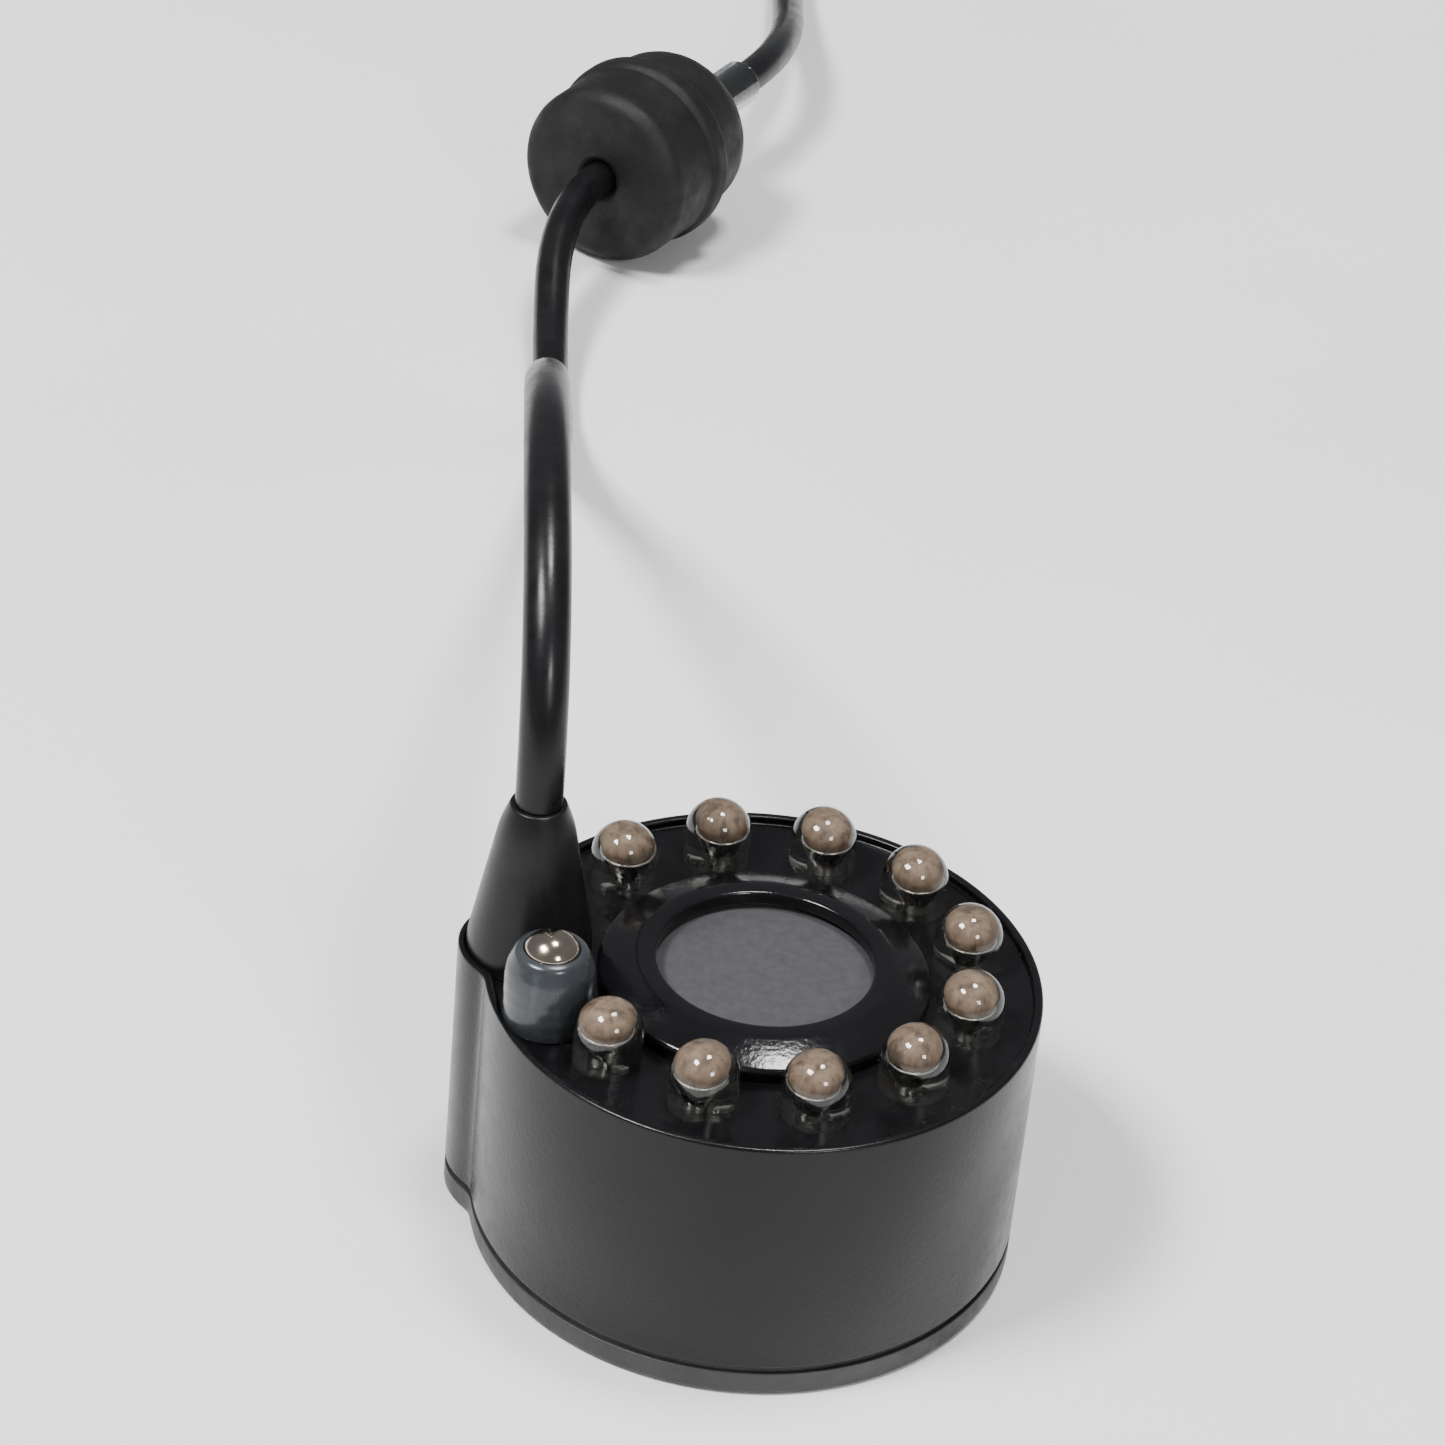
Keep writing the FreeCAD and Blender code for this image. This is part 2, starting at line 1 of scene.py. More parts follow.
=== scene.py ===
"""Looks of the submersible mist maker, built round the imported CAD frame. Metres, +Z up."""

import math

import bmesh
import bpy
from mathutils import Matrix, Vector


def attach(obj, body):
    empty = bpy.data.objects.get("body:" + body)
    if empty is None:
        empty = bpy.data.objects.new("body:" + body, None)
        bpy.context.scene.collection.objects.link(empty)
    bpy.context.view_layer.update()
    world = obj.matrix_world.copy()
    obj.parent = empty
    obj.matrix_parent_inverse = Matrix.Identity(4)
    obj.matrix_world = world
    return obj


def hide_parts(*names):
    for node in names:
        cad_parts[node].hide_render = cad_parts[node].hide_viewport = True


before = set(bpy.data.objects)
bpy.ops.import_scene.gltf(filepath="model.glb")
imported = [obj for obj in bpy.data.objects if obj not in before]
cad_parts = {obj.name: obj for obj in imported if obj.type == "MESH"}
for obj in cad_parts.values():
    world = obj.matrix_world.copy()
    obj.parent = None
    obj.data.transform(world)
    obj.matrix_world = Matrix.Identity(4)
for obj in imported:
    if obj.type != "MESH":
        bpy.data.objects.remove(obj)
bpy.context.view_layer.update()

MM = 0.001
UNIT = "unit"

# Places and sizes in millimetres, as the part has them.
LOBE = (-16.9, 3.9)
SENSOR = (-16.2, -4.4)
BODY_RADIUS, LOBE_RADIUS = 20.5, 5.2
INNER_RADIUS, LOBE_INNER = 18.7, 3.4
SHELL_FOOT, DECK_UNDER, DECK_TOP, LIP_TOP = 2.5, 20.0, 22.0, 22.6
LIP_WIDTH = 0.7
LAMP_CIRCLE, LAMP_FIRST, LAMP_PITCH, LAMPS = 15.4, 216.8, 30.0, 10
LAMP_RADIUS, LAMP_CENTRE = 2.5, 24.5
CORD_THICK = 3.5
FLOOR = CORD_THICK / 2
BUNG_FRONT, BUNG_WAY = Vector((2.0, 150.0, 9.8)), Vector((0.6, 0.8, 0.0))
COIL = Vector((8.0, 254.0, 0.0))
PLUG_FOOT, PLUG_WAY = COIL + Vector((-8.0, 31.5, 5.0)), Vector((-1.0, 0.0, 0.0))

# --- camera, floor and light ------------------------------------------------------------------

CAMERA_PLACE = Vector((-0.0487, -0.2629, 0.2221))
CAMERA_AIM = Vector((0.0011, 0.0357, 0.0205))
CAMERA_UP = Vector((0.0, 0.588, 0.809))
CAMERA_LENS = 113.8


def aim(thing, place, target, up=Vector((0, 0, 1))):
    """Puts a camera or lamp at a place, looking at a target, with its top towards up."""
    back = (place - target).normalized()
    right = up.cross(back).normalized()
    turn = Matrix((right, back.cross(right), back)).transposed()
    thing.matrix_world = Matrix.Translation(place) @ turn.to_4x4()


def add_camera():
    camera = bpy.data.objects.new("camera", bpy.data.cameras.new("camera"))
    camera.data.lens = CAMERA_LENS
    camera.data.sensor_width = 36.0
    camera.data.clip_start, camera.data.clip_end = 0.01, 50.0
    bpy.context.scene.collection.objects.link(camera)
    bpy.context.scene.camera = camera
    aim(camera, CAMERA_PLACE, CAMERA_AIM, CAMERA_UP)


def add_light(name, place, size, watts):
    light = bpy.data.lights.new(name, "AREA")
    light.shape = "RECTANGLE"
    light.size, light.size_y = size
    light.energy = watts
    thing = bpy.data.objects.new(name, light)
    bpy.context.scene.collection.objects.link(thing)
    aim(thing, Vector(place), Vector((0, 0.05, 0.02)))


add_camera()
add_light("key", (-0.5, -0.15, 0.85), (0.3, 0.2), 16.0)
add_light("top", (0.15, 0.05, 1.0), (0.2, 0.2), 9.0)
add_light("front", (0.3, -0.8, 0.6), (0.2, 0.2), 4.0)

world = bpy.data.worlds.new("studio")
bpy.context.scene.world = world
world.use_nodes = True
world.node_tree.nodes["Background"].inputs["Color"].default_value = (0.93, 0.95, 1.0, 1)
world.node_tree.nodes["Background"].inputs["Strength"].default_value = 0.32

# --- materials --------------------------------------------------------------------------------


class Paint:
    """One node-based material. Its methods add a socket's detail and return the node's output."""

    def __init__(self, name, color, roughness, **sockets):
        self.made = bpy.data.materials.new(name)
        self.made.use_nodes = True
        self.tree = self.made.node_tree
        self.shader = self.tree.nodes["Principled BSDF"]
        self.set("Base Color", (*color, 1.0))
        self.set("Roughness", roughness)
        for socket, value in sockets.items():
            self.set(socket.replace("_", " "), value)
        self.where = self.tree.nodes.new("ShaderNodeTexCoord").outputs["Object"]
        self.bump = None

    def set(self, socket, value):
        self.shader.inputs[socket].default_value = value

    def link(self, output, socket):
        self.tree.links.new(output, socket)

    def noise(self, scale, detail=4.0, roughness=0.55, stretch=None):
        node = self.tree.nodes.new("ShaderNodeTexNoise")
        node.inputs["Scale"].default_value = scale
        node.inputs["Detail"].default_value = detail
        node.inputs["Roughness"].default_value = roughness
        self.link(self.mapped(stretch) if stretch else self.where, node.inputs["Vector"])
        return node.outputs["Fac"]

    def mapped(self, stretch):
        node = self.tree.nodes.new("ShaderNodeMapping")
        node.inputs["Scale"].default_value = stretch
        self.link(self.where, node.inputs["Vector"])
        return node.outputs["Vector"]

    def waves(self, scale, direction="Z", kind="BANDS", distortion=0.0):
        node = self.tree.nodes.new("ShaderNodeTexWave")
        node.wave_type = kind
        if kind == "BANDS":
            node.bands_direction = direction
        else:
            node.rings_direction = direction
        node.inputs["Scale"].default_value = scale
        node.inputs["Distortion"].default_value = distortion
        node.inputs["Detail"].default_value = 2.0
        self.link(self.where, node.inputs["Vector"])
        return node.outputs["Fac"]

    def ramp(self, source, stops):
        node = self.tree.nodes.new("ShaderNodeValToRGB")
        points = node.color_ramp.elements
        while len(points) < len(stops):
            points.new(0.5)
        for point, (place, color) in zip(points, stops):
            point.position = place
            point.color = (*color, 1.0) if len(color) == 3 else color
        self.link(source, node.inputs["Fac"])
        return node.outputs["Color"]

    def color(self, source, *stops):
        """The colour follows a source through stops of (place, colour)."""
        self.link(self.ramp(source, stops), self.shader.inputs["Base Color"])
        return self

    def gloss(self, source, low, high):
        """The roughness follows a source between two values."""
        node = self.tree.nodes.new("ShaderNodeMapRange")
        node.inputs["From Min"].default_value = 0.3
        node.inputs["From Max"].default_value = 0.7
        node.inputs["To Min"].default_value = low
        node.inputs["To Max"].default_value = high
        self.link(source, node.inputs["Value"])
        self.link(node.outputs["Result"], self.shader.inputs["Roughness"])
        return self

    def relief(self, source, depth, strength=1.0):
        """Adds a bump of a depth in metres; several add up."""
        node = self.tree.nodes.new("ShaderNodeBump")
        node.inputs["Strength"].default_value = strength
        node.inputs["Distance"].default_value = depth
        self.link(source, node.inputs["Height"])
        if self.bump:
            self.link(self.bump, node.inputs["Normal"])
        self.bump = node.outputs["Normal"]
        self.link(self.bump, self.shader.inputs["Normal"])
        return self


def plastic(name, color, roughness=0.3, grain=2500.0, depth=0.00002, **sockets):
    """Moulded plastic: fine grain, slow changes of gloss and of shade."""
    paint = Paint(name, color, roughness, **sockets)
    slow = paint.noise(140.0, 3.0)
    dark, light = [tuple(c * k for c in color) for k in (0.75, 1.3)]
    paint.color(slow, (0.3, dark), (0.7, light))
    paint.gloss(paint.noise(600.0, 5.0), roughness * 0.8, roughness * 1.25)
    return paint.relief(paint.noise(grain, 3.0), depth)


def metal(name, color, roughness, lines=None, direction="Z", depth=0.000006):
    """Metal with turning or brushing lines and small scratches."""
    paint = Paint(name, color, roughness, Metallic=1.0)
    dark = tuple(c * 0.8 for c in color)
    paint.color(paint.noise(500.0, 4.0), (0.3, dark), (0.7, color))
    paint.gloss(paint.noise(900.0, 5.0), roughness * 0.7, roughness * 1.4)
    if lines:
        paint.relief(paint.waves(lines, direction, distortion=1.5), depth)
    return paint.relief(paint.noise(3000.0, 2.0), depth * 0.5)


def rubber(name, color, roughness=0.6, grain=1800.0, depth=0.00004):
    """Moulded rubber: dull, with a fine matt grain and a dusty bloom."""
    paint = Paint(name, color, roughness, Specular_IOR_Level=0.25)
    bloom = tuple(c * 2.4 for c in color)
    paint.color(paint.noise(220.0, 6.0, 0.65), (0.42, color), (0.78, bloom))
    paint.gloss(paint.noise(420.0, 4.0), roughness * 0.8, min(1.0, roughness * 1.2))
    paint.relief(paint.noise(grain, 4.0), depth)
    return paint.relief(paint.noise(260.0, 2.0), depth * 1.5, 0.5)


def clear(name, color, roughness, ior, transmission=1.0, ripple=0.00002):
    """Clear or smoky resin."""
    paint = Paint(name, color, roughness, IOR=ior, Transmission_Weight=transmission)
    paint.gloss(paint.noise(700.0, 3.0), roughness * 0.6, roughness * 1.4)
    return paint.relief(paint.noise(420.0, 2.0), ripple)


def board(name):
    """Green board: solder resist over tracks, with a fibre weave showing through."""
    paint = Paint(name, (0.01, 0.1, 0.035), 0.35, Coat_Weight=0.4)
    cells = paint.tree.nodes.new("ShaderNodeTexBrick")
    cells.inputs["Scale"].default_value = 320.0
    cells.inputs["Color1"].default_value = (0.012, 0.12, 0.04, 1)
    cells.inputs["Color2"].default_value = (0.03, 0.2, 0.07, 1)
    cells.inputs["Mortar"].default_value = (0.008, 0.075, 0.025, 1)
    paint.link(paint.where, cells.inputs["Vector"])
    paint.link(cells.outputs["Color"], paint.shader.inputs["Base Color"])
    return paint.relief(cells.outputs["Fac"], 0.00003).relief(paint.noise(2200.0), 0.00001)


def ceramic_face(name):
    """The disc: plated ceramic, an even dull grey with a fine grain and faint turning rings."""
    paint = Paint(name, (0.045, 0.045, 0.048), 0.5, Specular_IOR_Level=0.3)
    dark, light = (0.04, 0.04, 0.0425), (0.051, 0.051, 0.054)
    paint.color(paint.noise(1500.0, 5.0), (0.3, dark), (0.72, light))
    paint.gloss(paint.noise(900.0, 4.0), 0.4, 0.52)
    paint.relief(paint.waves(420.0, "Z", "RINGS", 0.6), 0.000003)
    return paint.relief(paint.noise(3200.0, 3.0), 0.000008)


def phosphor(name):
    """The lamps' fill: brownish beige, with darker streaks."""
    paint = Paint(name, (0.26, 0.19, 0.13), 0.55)
    streaks = paint.noise(1100.0, 5.0, 0.65, (1.0, 1.0, 0.35))
    dark, middle, light = (0.1, 0.07, 0.05), (0.24, 0.17, 0.12), (0.34, 0.26, 0.19)
    paint.color(streaks, (0.36, dark), (0.5, middle), (0.7, light))
    return paint.relief(paint.noise(1800.0, 3.0), 0.00006)


def sleeve_resin(name):
    """Smoky blue-grey sleeve, cloudy inside, with faint level lines round it."""
    dark, light = (0.05, 0.056, 0.064), (0.085, 0.094, 0.106)
    paint = clear(name, light, 0.2, 1.45, transmission=0.6)
    paint.color(paint.noise(260.0, 3.0), (0.3, dark), (0.75, light))
    return paint.relief(paint.waves(300.0, "Z", distortion=1.2), 0.000012)


BLACK = (0.003, 0.003, 0.0036)
BLACK_RUBBER = (0.004, 0.004, 0.0045)
PAINTS = {
    "shell": plastic("shell_black", BLACK, 0.24, Specular_IOR_Level=0.25),
    "ring": plastic("ring_black", BLACK, 0.13, Specular_IOR_Level=0.35),
    "cover": plastic("cover_black", (0.018, 0.018, 0.02), 0.45, 1600.0, 0.00004),
    "seal": rubber("seal_rubber", (0.02, 0.02, 0.021), 0.5),
    "steel": metal("screw_steel", (0.55, 0.55, 0.56), 0.3, 900.0),
    "pin": metal("pin_steel", (0.42, 0.37, 0.3), 0.14),
    "nylon": plastic("nylon", (0.7, 0.69, 0.64), 0.5, 1400.0, 0.00003),
    "disc": ceramic_face("disc_face"),
    "brass": metal("contact_brass", (0.78, 0.56, 0.26), 0.25, 700.0),
    "lamp": clear("lamp_resin", (0.98, 0.95, 0.88), 0.03, 1.52),
    "tin": metal("tinned_lead", (0.62, 0.62, 0.61), 0.28, 600.0),
    "die": phosphor("lamp_phosphor"),
    "board": board("board_green"),
    "plate": metal("plate_aluminium", (0.7, 0.7, 0.72), 0.35, 800.0, "X"),
    "moulding": plastic("black_moulding", (0.025, 0.025, 0.027), 0.5, 1500.0, 0.00004),
    "ferrite": plastic("ferrite", (0.05, 0.05, 0.054), 0.65, 1200.0, 0.00005),
    "copper": metal("copper_wire", (0.75, 0.33, 0.15), 0.2, 1300.0, "Z", 0.00003),
    "film": plastic("capacitor_case", (0.4, 0.1, 0.045), 0.25),
    "sleeve": sleeve_resin("sleeve_resin"),
    "boot": rubber("boot_rubber", BLACK_RUBBER, 0.36, 2200.0, 0.00001),
    "bung": rubber("bung_rubber", (0.004, 0.004, 0.0043), 0.6),
    "jacket": rubber("lead_jacket", BLACK_RUBBER, 0.3, 2400.0, 0.000008),
    "wire": rubber("wire_red", (0.4, 0.025, 0.02), 0.4),
    "tube": clear("clear_tube", (0.86, 0.88, 0.88), 0.06, 1.42),
    "nickel": metal("plug_nickel", (0.8, 0.79, 0.76), 0.14, 1500.0, "X"),
    "plug": plastic("plug_black", (0.014, 0.014, 0.015), 0.42, 1700.0, 0.00003),
}

KEPT = {
    "cover_seal": "seal", "disc_gasket": "seal", "sensor_seal_ring": "seal", "sensor_nut": "steel",
    "slip_washer": "nylon", "board_pillars": "nylon", "atomiser_disc": "disc",
    "centre_contact": "brass", "rim_contact": "brass", "plug_contact": "brass",
    "led_leads": "tin", "led_board": "board", "driver_board": "board", "heat_spreader": "plate",
    "power_transistor": "moulding", "control_chip": "moulding", "plug_insulator": "moulding",
    "choke_cores": "ferrite", "choke_windings": "copper", "capacitors": "film",
    "cord_grip": "moulding", "inner_wires": "wire",
}
for node, paint in KEPT.items():
    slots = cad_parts[node].data.materials
    slots.clear()
    slots.append(PAINTS[paint].made)

# --- mesh helpers -----------------------------------------------------------------------------

SHARP = math.radians(38)
ROUNDING_STEPS = 4
ON_AXIS, SAME_POINT = 1e-6, 1e-5


def shaded(mesh):
    """Smooth shading, with edges sharper than SHARP kept."""
    for polygon in mesh.polygons:
        polygon.use_smooth = True
    mesh.set_sharp_from_angle(angle=SHARP)


def finished(name, shape, paint, body):
    """Turns a bmesh in millimetres into a piece that rides on a body."""
    shape.transform(Matrix.Scale(MM, 4))
    bmesh.ops.recalc_face_normals(shape, faces=shape.faces)
    mesh = bpy.data.meshes.new(name)
    shape.to_mesh(mesh)
    shape.free()
    shaded(mesh)
    mesh.materials.append(PAINTS[paint].made)
    thing = bpy.data.objects.new(name, mesh)
    bpy.context.scene.collection.objects.link(thing)
    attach(thing, body)
    return thing


def rounded(profile):
    """The corners of a closed profile as small arcs; each corner is (radius, height, rounding)."""
    points = []
    count = len(profile)
    for k, (r, z, size) in enumerate(profile):
        here = Vector((r, z))
        if not size:
            points.append(here)
            continue
        before = Vector(profile[k - 1][:2]) - here
        after = Vector(profile[(k + 1) % count][:2]) - here
        cut = min(size, before.length * 0.48, after.length * 0.48)
        first, last = here + before.normalized() * cut, here + after.normalized() * cut
        for step in range(ROUNDING_STEPS + 1):
            t = step / ROUNDING_STEPS
            points.append(first * (1 - t) ** 2 + here * 2 * t * (1 - t) + last * t**2)
    return points


def swept(shape, outline, segments, place=Matrix.Identity(4)):
    """Adds a closed profile that changes with the angle, turned about Z and moved to a place.

    The outline gives the profile's corners, in the same number at every angle.
    """
    loops = []
    for k in range(segments):
        angle = math.tau * k / segments
        points = rounded(outline(angle))
        turn = [Vector((p.x * math.cos(angle), p.x * math.sin(angle), p.y)) for p in points]
        loops.append([shape.verts.new(place @ p) for p in turn])
    added = [v for loop in loops for v in loop]
    for one, two in zip(loops, loops[1:] + loops[:1]):
        for i in range(len(points)):
            j = (i + 1) % len(points)
            if points[i].x > ON_AXIS or points[j].x > ON_AXIS:
                shape.faces.new((one[i], two[i], two[j], one[j]))
    bmesh.ops.remove_doubles(shape, verts=added, dist=SAME_POINT)
    return shape


def lathe(shape, profile, segments=96, place=Matrix.Identity(4)):
    """Adds a closed profile turned about Z, the same at every angle."""
    return swept(shape, lambda angle: profile, segments, place)


def along(way, foot):
    """The matrix that turns local +Z to a direction and moves the origin to foot."""
    return Matrix.Translation(foot) @ way.to_track_quat("Z", "Y").to_matrix().to_4x4()


def at(place, height=0.0):
    return Matrix.Translation((*place, height))


def lamp_places():
    for k in range(LAMPS):
        angle = math.radians(LAMP_FIRST + k * LAMP_PITCH)
        yield angle, (LAMP_CIRCLE * math.cos(angle), LAMP_CIRCLE * math.sin(angle))


def block(shape, place, size, edge=0.06):
    """Adds a box with bevelled edges, centred at a place."""
    made = bmesh.ops.create_cube(shape, size=1.0, matrix=place @ Matrix.Diagonal((*size, 1.0)))
    edges = list({e for v in made["verts"] for e in v.link_edges})
    bmesh.ops.bevel(shape, geom=edges, offset=edge, segments=2, affect="EDGES", profile=0.7)


def carved(piece, cutter):
    """Cuts a bmesh in millimetres out of a piece. The cutter's parts may cross each other."""
    cutter.transform(Matrix.Scale(MM, 4))
    bmesh.ops.recalc_face_normals(cutter, faces=cutter.faces)
    tool_mesh = bpy.data.meshes.new("tool")
    cutter.to_mesh(tool_mesh)
    cutter.free()
    tool = bpy.data.objects.new("tool", tool_mesh)
    bpy.context.scene.collection.objects.link(tool)
    change = piece.modifiers.new("carve", "BOOLEAN")
    change.operation, change.solver, change.object = "DIFFERENCE", "EXACT", tool
    change.use_self = True
    graph = bpy.context.evaluated_depsgraph_get()
    made = bpy.data.meshes.new_from_object(piece.evaluated_get(graph))
    piece.modifiers.clear()
    piece.data = made
    bpy.data.objects.remove(tool)
    shaded(made)


# --- housing ----------------------------------------------------------------------------------

THREAD_PITCH, THREAD_DEPTH, THREAD_ROWS = 1.0, 0.28, 25
DECK_THREAD, RING_THREAD = 11.65, 11.6
SKIRT_FOOT = 19.5
AXIS = (0.0, 0.0)


def reach(angle, circles, soft=0.3):
    """How far a union of circles reaches from the axis in one direction, with softened joins."""
    found = []
    for (x, y), radius in circles:
        across = x * math.cos(angle) + y * math.sin(angle)
        inside = radius**2 - x * x - y * y + across**2
        if inside > 0:
            found.append(across + math.sqrt(inside))
    far = max(found)
    return far + soft * math.log(sum(math.exp((d - far) / soft) for d in found))


def outside(angle):
    """The outer wall of the body with its lobe."""
    return reach(angle, ((AXIS, BODY_RADIUS), (LOBE, LOBE_RADIUS)))


def thread(angle, radius):
    """The outline of a right-hand thread down a wall from the deck, as corners of a profile."""
    rows = []
    for row in range(THREAD_ROWS):
        z = DECK_TOP - (DECK_TOP - SKIRT_FOOT) * row / (THREAD_ROWS - 1)
        phase = (z / THREAD_PITCH - angle / math.tau) % 1.0
        tooth = min(1.0, max(0.0, 3.0 * abs(phase - 0.5) - 0.25))
        fade = min(1.0, row / 3, (THREAD_ROWS - 1 - row) / 3)
        rows.append((radius + THREAD_DEPTH * tooth * fade, z, 0))
    return rows


def shell_profile(angle):
    out = outside(angle)
    lip = reach(angle, ((AXIS, BODY_RADIUS - LIP_WIDTH), (LOBE, 4.65), (SENSOR, 3.35)))
    inside = reach(angle, ((AXIS, INNER_RADIUS), (LOBE, LOBE_INNER)))
    return [
        (8.5, 17.0, 0.1), (8.5, 18.5, 0.1), (DECK_THREAD, 18.5, 0.0),
        *reversed(thread(angle, DECK_THREAD)),
        (11.95, DECK_TOP, 0.0), (lip, DECK_TOP, 0.15), (lip, LIP_TOP, 0.22), (out, LIP_TOP, 0.3),
        (out, SHELL_FOOT, 0.25), (inside, SHELL_FOOT, 0.1), (inside, DECK_UNDER, 0.3),
        (12.5, DECK_UNDER, 0.0), (12.5, 17.0, 0.1),
    ]


def add_housing():
    shell = finished("shell", swept(bmesh.new(), shell_profile, 360), "shell", UNIT)
    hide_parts("housing_shell")


def ring_profile(angle):
    return [
        (8.0, 23.0, 0.05), (8.0, 24.0, 0.3), (9.4, 24.0, 0.3), (12.2, 23.0, 0.35),
        (12.2, 22.02, 0.08), (RING_THREAD, 22.02, 0.0),
        *thread(angle, RING_THREAD - THREAD_DEPTH),
        (11.05, SKIRT_FOOT, 0.05), (11.05, 23.0, 0.0),
    ]


def add_ring():
    ring = finished("screw_ring", swept(bmesh.new(), ring_profile, 240), "ring", "ring")
    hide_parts("retaining_ring")


COVER_TOP, HUB_RADIUS = 2.0, 6.0
SCREW_CIRCLE, SCREW_HEAD, COUNTERBORE, COUNTERBORE_TOP = 16.9, 1.9, 2.1, 1.2
SCREW_HOLE, SCREW_RADIUS, SCREW_FOOT, SCREW_TIP = 1.1, 0.78, 0.2, 10.5
SPIGOT_NOTCH = 2.7


def screw_places():
    for k in range(4):
        angle = math.radians(45 + 90 * k)
        yield SCREW_CIRCLE * math.cos(angle), SCREW_CIRCLE * math.sin(angle)


def cover_profile(angle):
    out = outside(angle)
    return [
        (HUB_RADIUS, 0.0, 0.0), (out, 0.0, 0.5), (out, COVER_TOP, 0.1), (18.4, COVER_TOP, 0.0),
        (18.4, 4.0, 0.2), (17.2, 4.0, 0.2), (17.2, COVER_TOP, 0.0), (HUB_RADIUS, COVER_TOP, 0.0),
    ]


def add_cover():
    """The cover, with counterbored screw holes and a shallow gate mark in its middle."""
    shape = swept(bmesh.new(), cover_profile, 240)
    cover = finished("cover", shape, "cover", UNIT)
    middle = [
        (0, 0.25, 0), (2.2, 0.25, 0.1), (2.6, 0.0, 0.1), (HUB_RADIUS, 0.0, 0),
        (HUB_RADIUS, COVER_TOP, 0), (0, COVER_TOP, 0),
    ]
    hub = finished("cover_middle", lathe(bmesh.new(), middle), "cover", UNIT)
    hole = [
        (0, -1, 0), (COUNTERBORE, -1, 0), (COUNTERBORE, COUNTERBORE_TOP, 0),
        (SCREW_HOLE, COUNTERBORE_TOP, 0), (SCREW_HOLE, COVER_TOP, 0),
        (SPIGOT_NOTCH, COVER_TOP, 0), (SPIGOT_NOTCH, 5, 0), (0, 5, 0),
    ]
    tool = bmesh.new()
    for place in screw_places():
        lathe(tool, hole, 48, at(place))
    carved(cover, tool)
    for piece in (cover, hub):
        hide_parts("base_cover")


def add_screws():
    """Cross-recessed screws, heads downwards."""
    profile = [
        (0, SCREW_FOOT, 0), (SCREW_HEAD, SCREW_FOOT, 0.45), (SCREW_HEAD, COUNTERBORE_TOP, 0.1),
        (SCREW_RADIUS, COUNTERBORE_TOP, 0), (SCREW_RADIUS, SCREW_TIP, 0.3), (0, SCREW_TIP, 0),
    ]
    shape, tool = bmesh.new(), bmesh.new()
    for turn, place in enumerate(screw_places()):
        lathe(shape, profile, 48, at(place))
        for quarter in (0, 90):
            twist = Matrix.Rotation(math.radians(20 + 35 * turn + quarter), 4, "Z")
            block(tool, at(place, 0.35) @ twist, (2.1, 0.46, 1.0), 0.08)
    screws = finished("screws", shape, "steel", UNIT)
    carved(screws, tool)
    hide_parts("cover_screws")


# --- lamps and sensor -------------------------------------------------------------------------


def add_lamps():
    """Ten clear resin lamps with their frame, cup and phosphor inside."""
    lens, metalwork, glow = bmesh.new(), bmesh.new(), bmesh.new()
    dome = [(LAMP_RADIUS * math.cos(t), LAMP_CENTRE + LAMP_RADIUS * math.sin(t), 0.0)
            for t in (math.radians(6 * k) for k in range(15))]
    skin = [
        (0, 19.0, 0), (2.8, 19.0, 0.1), (2.8, 19.98, 0.1), (LAMP_RADIUS, 19.98, 0),
        *dome, (0, LAMP_CENTRE + LAMP_RADIUS, 0),
    ]
    cup = [
        (0, 20.4, 0), (0.55, 20.4, 0.1), (0.55, 22.8, 0.2), (1.35, 24.3, 0.1),
        (1.25, 24.4, 0.05), (0.45, 23.2, 0.05), (0, 23.2, 0),
    ]
    cap = [
        (0, 23.3, 0), (0.45, 23.4, 0.1), (1.3, 24.5, 0.1), (1.62, 25.1, 0.3),
        (1.45, 25.8, 0.5), (0.8, 26.3, 0.3), (0, 26.35, 0),
    ]
    for angle, place in lamp_places():
        here = at(place) @ Matrix.Rotation(angle, 4, "Z")
        lathe(lens, skin, 64, here)
        lathe(metalwork, cup, 32, here @ Matrix.Translation((0, -0.25, 0)))
        lathe(glow, cap, 32, here @ Matrix.Translation((0, -0.25, 0)))
        block(metalwork, here @ Matrix.Translation((0, 1.35, 21.2)), (0.5, 0.5, 2.4), 0.08)
        block(metalwork, here @ Matrix.Translation((0, 1.05, 22.2)), (0.5, 0.9, 0.5), 0.08)
    lenses = finished("lamp_lenses", lens, "lamp", UNIT)
    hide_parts("led_lamps")
    finished("lamp_frames", metalwork, "tin", UNIT)
    finished("lamp_phosphor", glow, "die", UNIT)


def add_sensor():
    sleeve = [
        (1.0, 22.5, 0), (1.95, 22.5, 0), (1.95, 22.0, 0), (3.3, 22.0, 0.25), (3.3, 26.6, 0.9),
        (2.6, 28.1, 0.4), (2.05, 28.3, 0.15), (2.02, 27.3, 0), (1.0, 27.3, 0),
    ]
    piece = finished("level_sleeve", lathe(bmesh.new(), sleeve, 96, at(SENSOR)), "sleeve", UNIT)
    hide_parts("sensor_sleeve")
    ball, centre, rim, steps = 2.267, 27.233, math.radians(28.1), 10
    dome = []
    for k in range(steps + 1):
        t = rim + (math.pi / 2 - rim) * k / steps
        dome.append((ball * math.cos(t), centre + ball * math.sin(t), 0))
    pin = [(0, 15, 0), (0.98, 15, 0.15), (0.98, 27.32, 0), (1.98, 27.32, 0.1), *dome]
    piece = finished("level_pin", lathe(bmesh.new(), pin, 64, at(SENSOR)), "pin", UNIT)
    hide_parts("sensor_pin")


# --- lead, boot, bung, clear sleeve and plug --------------------------------------------------

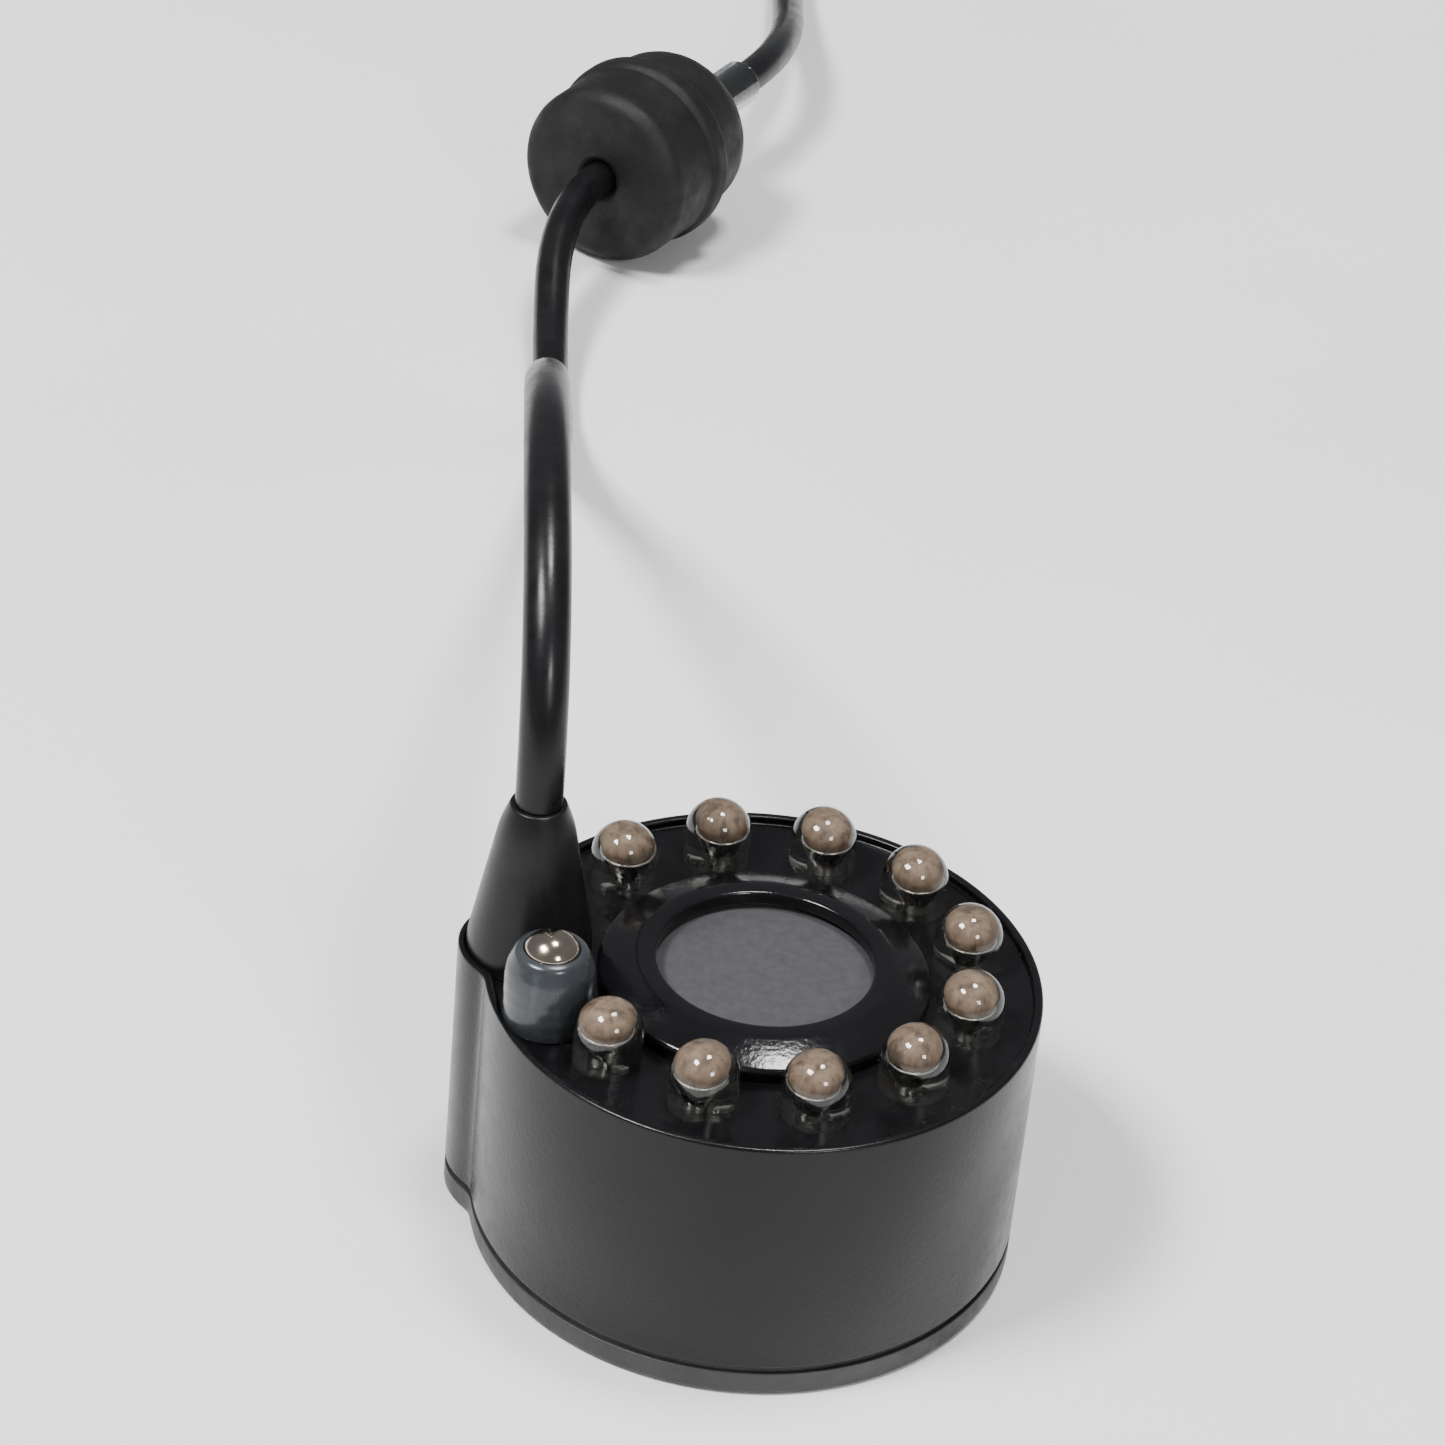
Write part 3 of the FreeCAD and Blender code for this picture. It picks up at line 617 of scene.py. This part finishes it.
# The lead leaves the boot, bends over, comes down to the floor, and runs through the bung and
# the clear sleeve to the coil.
LEAD_ROUTE = [
    (-16.9, 3.9, 15.0), (-16.9, 3.9, 22.0), (-16.9, 3.9, 46.5), (-15.6, 28.0, 55.0),
    (-12.4, 57.0, 40.0), (-8.4, 86.0, 20.5), (-5.2, 109.0, FLOOR), (-4.4, 127.0, FLOOR),
    BUNG_FRONT - BUNG_WAY * 8.0, BUNG_FRONT + BUNG_WAY * 8.0, BUNG_FRONT + BUNG_WAY * 21.0,
    BUNG_FRONT + BUNG_WAY * 39.0, (30.0, 213.0, FLOOR), COIL + Vector((25.4, -8.0, FLOOR)),
]
UPPER_LAYER = 5.35
TAIL_ROUTE = [
    COIL + Vector((8.7, 23.9, UPPER_LAYER)), COIL + Vector((-2.0, 31.5, 5.0)),
    PLUG_FOOT + PLUG_WAY * 7.0,
]
TURN_RADII = [25.4, 21.8, 18.2, 14.6, 14.6, 18.2, 21.8, 25.4]
TURN_HEIGHTS = [FLOOR] * 4 + [UPPER_LAYER] * 4
TURN_POINTS = 16
CROSSING = 0.3  # the last part of each turn, which moves over to the next one
FIRST_ANGLE, LAST_ANGLE = 5.0, 50.0


def coil_points():
    """Eight turns in two layers: inwards on the floor, then outwards on top of the first."""
    step = 360.0 / TURN_POINTS
    count = int((360.0 * len(TURN_RADII) + LAST_ANGLE - FIRST_ANGLE) / step)
    for k in range(count):
        turns, part = divmod(k / TURN_POINTS, 1.0)
        now = min(int(turns), len(TURN_RADII) - 1)
        then = min(now + 1, len(TURN_RADII) - 1)
        t = max(0.0, (part - (1.0 - CROSSING)) / CROSSING)
        t = t * t * (3 - 2 * t)
        radius = TURN_RADII[now] * (1 - t) + TURN_RADII[then] * t
        height = TURN_HEIGHTS[now] * (1 - t) + TURN_HEIGHTS[then] * t
        angle = math.radians(FIRST_ANGLE + step * k)
        yield COIL + Vector((radius * math.cos(angle), radius * math.sin(angle), height))


def add_lead():
    curve = bpy.data.curves.new("lead", "CURVE")
    curve.dimensions = "3D"
    curve.bevel_depth = CORD_THICK / 2 * MM
    curve.bevel_resolution = 8
    curve.resolution_u = 8
    curve.use_fill_caps = True
    points = [Vector(p) for p in LEAD_ROUTE] + list(coil_points()) + TAIL_ROUTE
    line = curve.splines.new("NURBS")
    line.points.add(len(points) - 1)
    for point, place in zip(line.points, points):
        point.co = (*(place * MM), 1.0)
    line.order_u = 3
    line.use_endpoint_u = True
    curve.materials.append(PAINTS["jacket"].made)
    lead = bpy.data.objects.new("lead", curve)
    bpy.context.scene.collection.objects.link(lead)
    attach(lead, UNIT)
    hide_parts("cord_lead", "cord_coil", "cord_tail")


LEAD_BORE = 1.76


def add_boot():
    profile = [
        (LEAD_BORE, 17.5, 0), (3.1, 17.5, 0.2), (3.1, 20.0, 0), (2.6, 20.0, 0), (2.6, 22.0, 0),
        (4.6, 22.0, 0.12), (4.6, 23.2, 1.0), (2.75, 33.2, 1.2), (2.05, 35.0, 0.5),
        (LEAD_BORE, 35.0, 0),
    ]
    boot = finished("boot", lathe(bmesh.new(), profile, 96, at(LOBE)), "boot", UNIT)
    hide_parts("cord_boot")


def add_bung():
    place = along(BUNG_WAY, BUNG_FRONT)
    profile = [
        (LEAD_BORE, 0.6, 0), (2.4, 0.0, 0.3), (8.3, 0.0, 0.6), (9.3, 1.0, 0.7), (9.3, 7.0, 0.15),
        (9.8, 7.6, 0.35), (9.8, 9.4, 0.35), (8.9, 10.0, 0.25), (8.6, 15.0, 1.6), (6.6, 17.5, 1.2),
        (2.5, 17.5, 0.2), (2.5, 16.5, 0), (LEAD_BORE, 16.5, 0),
    ]
    bung = finished("bung", lathe(bmesh.new(), profile, 128, place), "bung", UNIT)
    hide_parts("cord_bung")
    profile = [
        (1.8, 16.52, 0), (2.43, 16.52, 0), (2.45, 28.6, 0.2), (2.05, 29.0, 0.15), (1.8, 29.0, 0.05),
    ]
    tube = finished("bung_tube", lathe(bmesh.new(), profile, 64, place), "tube", UNIT)
    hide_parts("clear_sleeve")
    return [bung, tube]


COLLAR_RADIUS, COLLAR_BORE, COLLAR_FOOT, COLLAR_TOP = 3.2, 3.21, 20.0, 28.0
BARREL_RADIUS, BARREL_INSIDE, BARREL_TIP = 2.75, 2.4, 37.5


def plug_profile(angle):
    """Overmoulded plug: a grooved strain relief, then a grip with fine ribs along it."""
    grip = 4.86 + 0.14 * math.cos(28 * angle)
    relief = []
    for k in range(5):
        z = 1.6 + 2.0 * k
        wide = 2.25 + (3.4 - 2.25) * z / 12.0
        relief += [
            (wide, z, 0.1), (wide - 0.55, z + 0.15, 0.1),
            (wide - 0.5, z + 0.85, 0.1), (wide + 0.08, z + 1.0, 0.1),
        ]
    return [
        (0.0, 7.0, 0), (LEAD_BORE, 7.0, 0), (LEAD_BORE, 0.0, 0.05), (2.25, 0.0, 0.15), *relief,
        (3.4, 12.0, 0.4), (grip, 13.5, 0.6), (grip, 25.6, 0.3), (4.95, 26.2, 0.2),
        (4.95, 27.2, 0.3), (4.2, COLLAR_TOP, 0.3), (COLLAR_BORE, COLLAR_TOP, 0.05),
        (COLLAR_BORE, COLLAR_FOOT, 0), (0.0, COLLAR_FOOT, 0),
    ]


def add_plug():
    place = along(PLUG_WAY, PLUG_FOOT)
    shape = swept(bmesh.new(), plug_profile, 224)
    shape.transform(place)
    body = finished("plug_grip", shape, "plug", UNIT)
    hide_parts("plug_body")
    profile = [
        (BARREL_INSIDE, COLLAR_FOOT, 0), (COLLAR_RADIUS, COLLAR_FOOT, 0),
        (COLLAR_RADIUS, COLLAR_TOP, 0.05), (BARREL_RADIUS, COLLAR_TOP, 0.05),
        (BARREL_RADIUS, BARREL_TIP, 0.25), (BARREL_INSIDE, BARREL_TIP, 0.12),
    ]
    barrel = finished("plug_tube", lathe(bmesh.new(), profile, 96, place), "nickel", UNIT)
    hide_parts("plug_barrel")
    return [body, barrel]


add_housing()
add_ring()
add_cover()
add_screws()
add_lamps()
add_sensor()
add_boot()
on_lead = add_bung() + add_plug() + [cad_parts[n] for n in ("plug_insulator", "plug_contact")]
add_lead()

# --- floor ------------------------------------------------------------------------------------

FLOOR_TOP = -0.00002  # a hair below the cover's underside, so that the two faces don't coincide
FLOOR_REACH = 3
signs = ((-1, -1), (1, -1), (1, 1), (-1, 1))
corners = [(x * FLOOR_REACH, y * FLOOR_REACH, FLOOR_TOP) for x, y in signs]
floor_mesh = bpy.data.meshes.new("floor")
floor_mesh.from_pydata(corners, [], [(0, 1, 2, 3)])
floor = bpy.data.objects.new("floor", floor_mesh)
bpy.context.scene.collection.objects.link(floor)
ground = Paint("floor_pale", (0.78, 0.78, 0.77), 0.6)
ground.color(ground.noise(14.0, 3.0), (0.35, (0.76, 0.76, 0.75)), (0.65, (0.8, 0.8, 0.79)))
floor_mesh.materials.append(ground.made)
